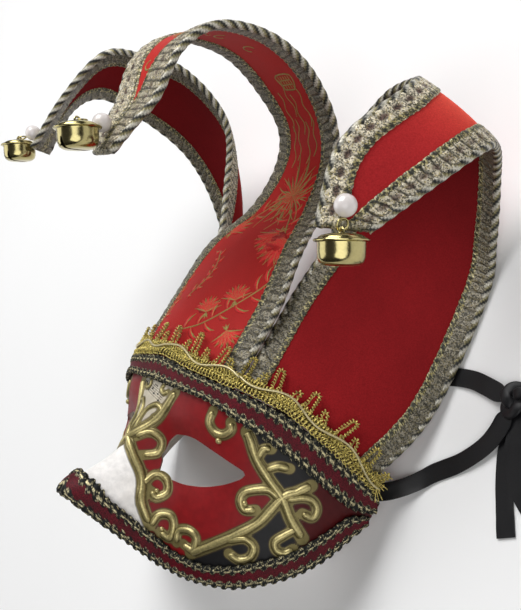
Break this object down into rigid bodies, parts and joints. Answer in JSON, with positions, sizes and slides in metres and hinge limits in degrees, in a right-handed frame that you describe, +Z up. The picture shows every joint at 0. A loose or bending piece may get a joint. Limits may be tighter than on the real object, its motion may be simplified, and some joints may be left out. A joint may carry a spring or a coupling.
{
  "type": "venetian jester half mask",
  "caption": "Carnival half mask with gilded painted face, velvet and brocade jester horns, pearls, bells and black ribbon ties, lying face up.",
  "frame": {"origin": "middle of the box of the mask, without its ribbons, on the surface it lies on", "axes": "+Z up, out of the face of the lying mask; +Y from the chin side to the horns; +X to the viewer's right of the face"},
  "size_m": [0.355, 0.2582, 0.1743],
  "materials": {
    "face_paint": "pearly painted papier-mache with gilded relief and fields of red and black",
    "gimp": "burgundy velvet ribbon with black and gold braid along both edges",
    "gold_lace": "metallic gold thread lace",
    "velvet": "red velvet on stiff card",
    "brocade": "red brocade with olive-gold floral sprays on stiff card",
    "silver_braid": "woven silver and black metallic braid",
    "pearl": "imitation pearl",
    "brass": "bright brass plate",
    "satin": "black satin ribbon"
  },
  "bodies": {
    "root": {"mask_shell": "face_paint", "brow_braid": "gimp", "lower_braid": "gimp", "gold_lace": "gold_lace", "centre_horn": "brocade", "right_horn": "velvet", "left_horn": "velvet", "centre_horn_braid": "silver_braid", "right_horn_braid": "silver_braid", "left_horn_braid": "silver_braid", "centre_pearl": "pearl", "right_pearl": "pearl", "left_pearl": "pearl", "centre_ring": "brass", "right_ring": "brass", "left_ring": "brass", "centre_bell": "brass", "right_bell": "brass", "left_bell": "brass", "right_ribbon": "satin", "left_ribbon": "satin", "ribbon_knot": "satin", "right_ribbon_end": "satin", "left_ribbon_end": "satin"}
  },
  "joints": []
}
